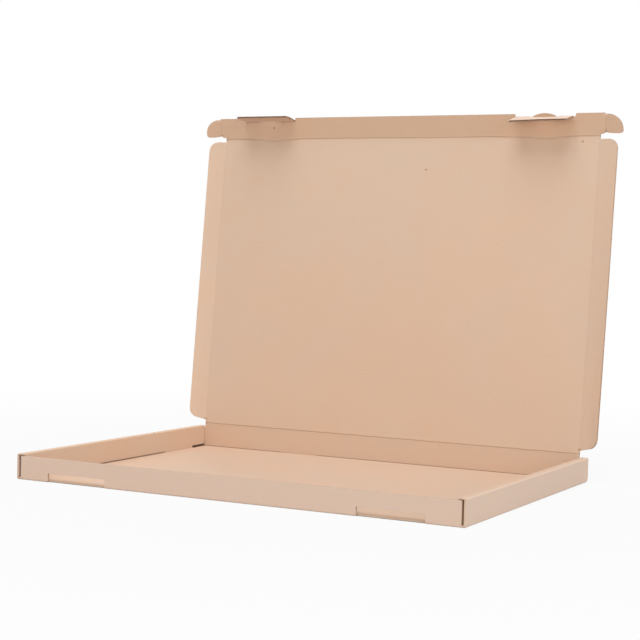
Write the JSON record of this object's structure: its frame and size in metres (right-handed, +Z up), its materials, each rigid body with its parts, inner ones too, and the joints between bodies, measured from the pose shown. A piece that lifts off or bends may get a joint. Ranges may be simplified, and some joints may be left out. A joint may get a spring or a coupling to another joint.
{
  "type": "mailer box",
  "caption": "Flat corrugated mailer box standing open: a tray with roll-over side walls and a hinged lid with side flaps, and a tuck flap with rounded ears and lock tabs.",
  "frame": {"origin": "centre of the tray's underside", "axes": "+X along the front wall to the right, +Y from the front wall to the hinge, +Z up"},
  "size_m": [0.3736, 0.2699, 0.2845],
  "materials": {
    "board": "matt brown kraft liner"
  },
  "bodies": {
    "tray": {"tray": "board"},
    "lid": {"lid": "board"},
    "lid_side_flap_left": {"lid_side_flap_left": "board"},
    "lid_side_flap_right": {"lid_side_flap_right": "board"},
    "tuck_flap": {"tuck_flap": "board"},
    "tuck_ear_left": {"tuck_ear_left": "board"},
    "tuck_ear_right": {"tuck_ear_right": "board"},
    "lock_tab_left": {"lock_tab_left": "board"},
    "lock_tab_right": {"lock_tab_right": "board"}
  },
  "joints": [
    {"name": "lid_hinge", "type": "hinge", "parent": "tray", "child": "lid", "pos_m": [0, 0.1223, 0.021], "axis": [1, 0, 0], "range_deg": [-84, 95.69]},
    {"name": "side_flap_left_crease", "type": "hinge", "parent": "lid", "child": "lid_side_flap_left", "pos_m": [-0.1681, 0.1345, 0.14561], "axis": [0, 0.0974, 0.9952], "range_deg": [-10, 80]},
    {"name": "side_flap_right_crease", "type": "hinge", "parent": "lid", "child": "lid_side_flap_right", "pos_m": [0.1681, 0.1345, 0.14561], "axis": [0, -0.0974, -0.9952], "range_deg": [-10, 80]},
    {"name": "tuck_flap_crease", "type": "hinge", "parent": "lid", "child": "tuck_flap", "pos_m": [0, 0.14629, 0.26613], "axis": [1, 0, 0], "range_deg": [-19, 70.9]},
    {"name": "ear_left_crease", "type": "hinge", "parent": "tuck_flap", "child": "tuck_ear_left", "pos_m": [-0.1728, 0.144, 0.27576], "axis": [0, -0.2319, 0.9727], "range_deg": [-6, 84]},
    {"name": "ear_right_crease", "type": "hinge", "parent": "tuck_flap", "child": "tuck_ear_right", "pos_m": [0.1728, 0.144, 0.27576], "axis": [0, 0.2319, -0.9727], "range_deg": [-6, 84]},
    {"name": "lock_tab_left_crease", "type": "hinge", "parent": "tuck_flap", "child": "lock_tab_left", "pos_m": [-0.123, 0.14281, 0.28072], "axis": [1, 0, 0], "range_deg": [-66, 24]},
    {"name": "lock_tab_right_crease", "type": "hinge", "parent": "tuck_flap", "child": "lock_tab_right", "pos_m": [0.123, 0.14281, 0.28072], "axis": [1, 0, 0], "range_deg": [-88, 2]}
  ]
}
